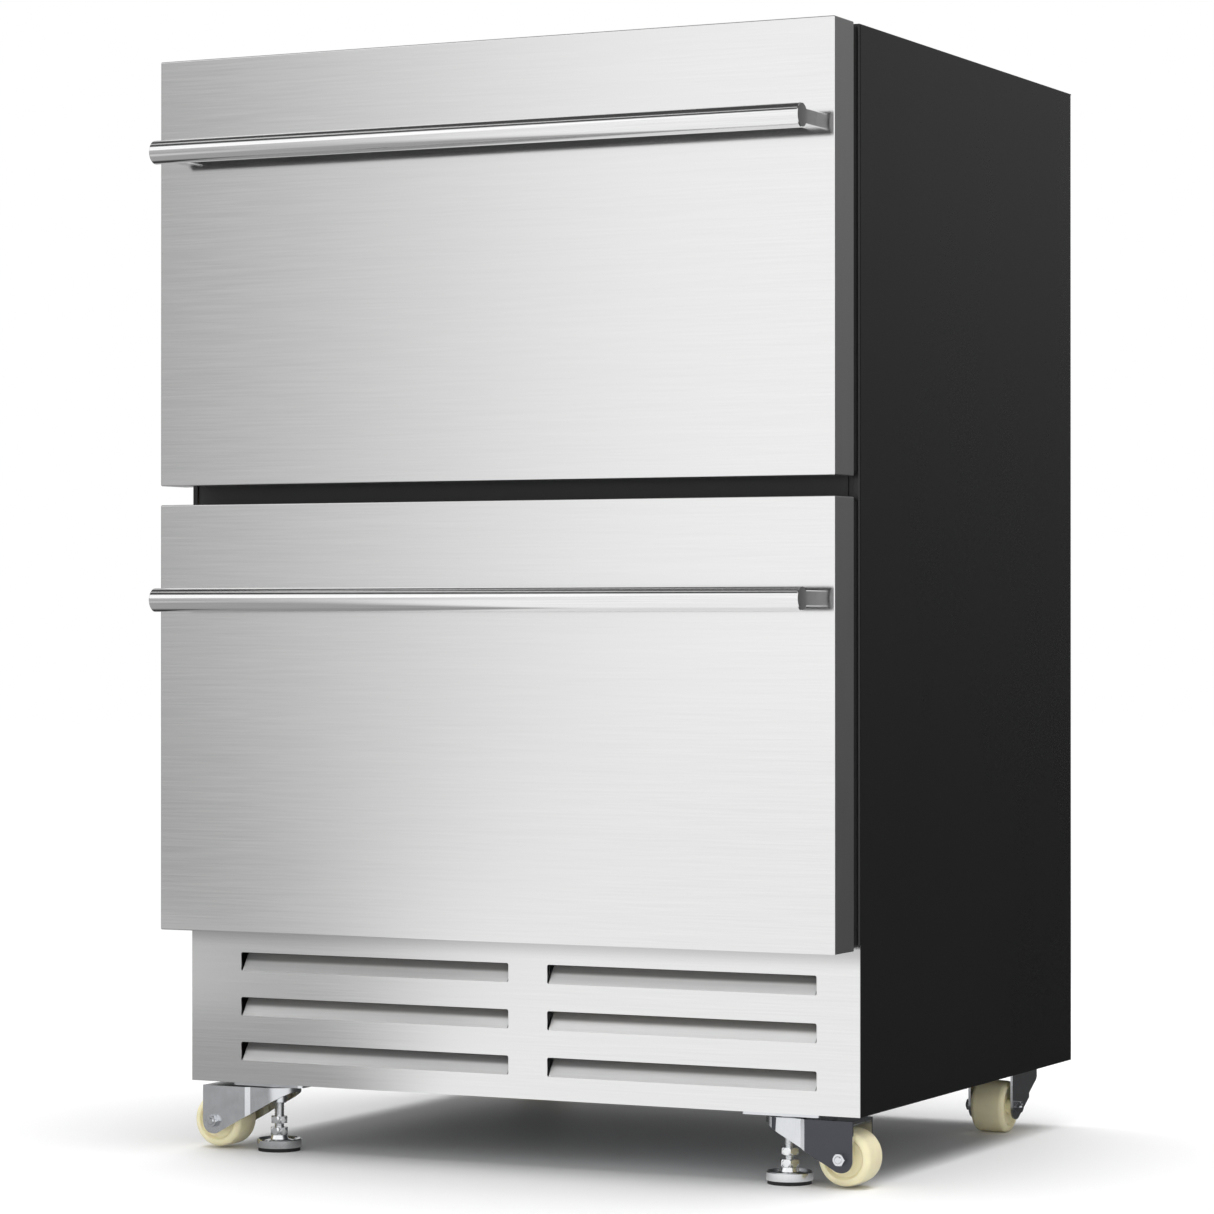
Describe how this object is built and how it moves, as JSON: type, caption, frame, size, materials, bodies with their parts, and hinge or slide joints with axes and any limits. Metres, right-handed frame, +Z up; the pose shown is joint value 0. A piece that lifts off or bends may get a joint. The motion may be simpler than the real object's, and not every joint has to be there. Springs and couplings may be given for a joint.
{
  "type": "undercounter refrigerator",
  "caption": "Undercounter refrigerator with stacked pull-out drawers, bar handles, a louvred kick plate and levelling casters in a black cabinet.",
  "frame": {"origin": "on the floor, under the middle of the overall box", "axes": "+X to the right seen from the front, +Y from the drawer fronts to the rear, +Z up"},
  "size_m": [0.603, 0.5637, 0.8885],
  "materials": {
    "front_steel": "satin",
    "handle_steel": "satin",
    "black_steel": "satin",
    "galvanised_steel": "matte",
    "black_plastic": "matte",
    "gasket_rubber": "matte",
    "liner_plastic": "satin",
    "foam": "matte",
    "bin_plastic": "satin",
    "slide_steel": "satin",
    "button_plastic": "satin",
    "lamp_lens": "gloss",
    "compressor_black": "gloss",
    "copper_tube": "satin",
    "coil_aluminium": "satin",
    "zinc_steel": "satin",
    "wheel_nylon": "satin"
  },
  "bodies": {
    "cabinet": {"side_panel_left": "black_steel", "side_panel_right": "black_steel", "top_panel": "black_steel", "back_panel": "galvanised_steel", "rear_vent_cover": "galvanised_steel", "base_tray": "galvanised_steel", "kick_plate": "front_steel", "inner_liner": "liner_plastic", "foam_insulation": "foam", "mullion": "black_plastic", "fasteners": "zinc_steel", "fixed_rails": "slide_steel", "caster_plates": "zinc_steel", "compressor": "compressor_black", "condenser": "coil_aluminium", "condenser_fan_shroud": "black_plastic", "refrigerant_tubes": "copper_tube", "evaporator": "coil_aluminium", "evaporator_cover": "liner_plastic", "power_inlet": "black_plastic", "control_panel": "black_plastic", "led_light": "lamp_lens"},
    "upper_drawer": {"upper_front_skin": "front_steel", "upper_front_foam": "foam", "upper_front_liner": "liner_plastic", "upper_gasket": "gasket_rubber", "upper_handle_bar": "handle_steel", "upper_handle_posts": "handle_steel", "upper_bin": "bin_plastic", "upper_drawer_rails": "slide_steel"},
    "upper_slide_members": {"upper_middle_rails": "slide_steel"},
    "lower_drawer": {"lower_front_skin": "front_steel", "lower_front_foam": "foam", "lower_front_liner": "liner_plastic", "lower_gasket": "gasket_rubber", "lower_handle_bar": "handle_steel", "lower_handle_posts": "handle_steel", "lower_bin": "bin_plastic", "lower_drawer_rails": "slide_steel"},
    "lower_slide_members": {"lower_middle_rails": "slide_steel"},
    "condenser_fan": {"condenser_fan": "black_plastic"},
    "evaporator_fan": {"evaporator_fan": "liner_plastic"},
    "colder_button": {"colder_button": "button_plastic"},
    "warmer_button": {"warmer_button": "button_plastic"},
    "front_left_fork": {"front_left_fork": "zinc_steel", "front_left_axle": "zinc_steel"},
    "front_left_wheel": {"front_left_wheel": "wheel_nylon"},
    "front_left_foot": {"front_left_foot_stem": "zinc_steel", "front_left_foot_pad": "zinc_steel"},
    "front_right_fork": {"front_right_fork": "zinc_steel", "front_right_axle": "zinc_steel"},
    "front_right_wheel": {"front_right_wheel": "wheel_nylon"},
    "front_right_foot": {"front_right_foot_stem": "zinc_steel", "front_right_foot_pad": "zinc_steel"},
    "rear_left_fork": {"rear_left_fork": "zinc_steel", "rear_left_axle": "zinc_steel"},
    "rear_left_wheel": {"rear_left_wheel": "wheel_nylon"},
    "rear_right_fork": {"rear_right_fork": "zinc_steel", "rear_right_axle": "zinc_steel"},
    "rear_right_wheel": {"rear_right_wheel": "wheel_nylon"}
  },
  "joints": [
    {"name": "upper_drawer_slide", "type": "slide", "parent": "cabinet", "child": "upper_drawer", "axis": [0, -1, 0], "range_m": [0, 0.37]},
    {"name": "upper_members_slide", "type": "slide", "parent": "cabinet", "child": "upper_slide_members", "axis": [0, -1, 0], "range_m": [0, 0.185]},
    {"name": "lower_drawer_slide", "type": "slide", "parent": "cabinet", "child": "lower_drawer", "axis": [0, -1, 0], "range_m": [0, 0.37]},
    {"name": "lower_members_slide", "type": "slide", "parent": "cabinet", "child": "lower_slide_members", "axis": [0, -1, 0], "range_m": [0, 0.185]},
    {"name": "condenser_fan_spin", "type": "hinge", "parent": "cabinet", "child": "condenser_fan", "pos_m": [-0.07, -0.087, 0.12], "axis": [0, 1, 0], "continuous": true},
    {"name": "evaporator_fan_spin", "type": "hinge", "parent": "cabinet", "child": "evaporator_fan", "pos_m": [0, 0.22175, 0.76], "axis": [0, 1, 0], "continuous": true},
    {"name": "colder_button_press", "type": "slide", "parent": "cabinet", "child": "colder_button", "axis": [0, 1, 0], "range_m": [0, 0.0012], "stiffness_N_per_m": 400},
    {"name": "warmer_button_press", "type": "slide", "parent": "cabinet", "child": "warmer_button", "axis": [0, 1, 0], "range_m": [0, 0.0012], "stiffness_N_per_m": 400},
    {"name": "front_left_swivel", "type": "hinge", "parent": "cabinet", "child": "front_left_fork", "pos_m": [-0.2285, -0.16725, 0.05], "axis": [0, 0, 1], "continuous": true},
    {"name": "front_left_wheel_spin", "type": "hinge", "parent": "front_left_fork", "child": "front_left_wheel", "pos_m": [-0.2795, -0.16725, 0.0235], "axis": [0, 1, 0], "continuous": true},
    {"name": "front_left_foot_levelling", "type": "slide", "parent": "cabinet", "child": "front_left_foot", "axis": [0, 0, 1], "range_m": [-0.015, 0.01]},
    {"name": "front_right_swivel", "type": "hinge", "parent": "cabinet", "child": "front_right_fork", "pos_m": [0.2285, -0.16725, 0.05], "axis": [0, 0, 1], "continuous": true},
    {"name": "front_right_wheel_spin", "type": "hinge", "parent": "front_right_fork", "child": "front_right_wheel", "pos_m": [0.2795, -0.16725, 0.0235], "axis": [0, 1, 0], "continuous": true},
    {"name": "front_right_foot_levelling", "type": "slide", "parent": "cabinet", "child": "front_right_foot", "axis": [0, 0, 1], "range_m": [-0.015, 0.01]},
    {"name": "rear_left_swivel", "type": "hinge", "parent": "cabinet", "child": "rear_left_fork", "pos_m": [-0.254, 0.259, 0.05], "axis": [0, 0, 1], "continuous": true},
    {"name": "rear_left_wheel_spin", "type": "hinge", "parent": "rear_left_fork", "child": "rear_left_wheel", "pos_m": [-0.203, 0.259, 0.022], "axis": [0, 1, 0], "continuous": true},
    {"name": "rear_right_swivel", "type": "hinge", "parent": "cabinet", "child": "rear_right_fork", "pos_m": [0.254, 0.259, 0.05], "axis": [0, 0, 1], "continuous": true},
    {"name": "rear_right_wheel_spin", "type": "hinge", "parent": "rear_right_fork", "child": "rear_right_wheel", "pos_m": [0.254, 0.208, 0.022], "axis": [1, 0, 0], "continuous": true}
  ],
  "couplings": [
    {"joint": "upper_members_slide", "follows": "upper_drawer_slide", "ratio": 0.5},
    {"joint": "lower_members_slide", "follows": "lower_drawer_slide", "ratio": 0.5}
  ]
}
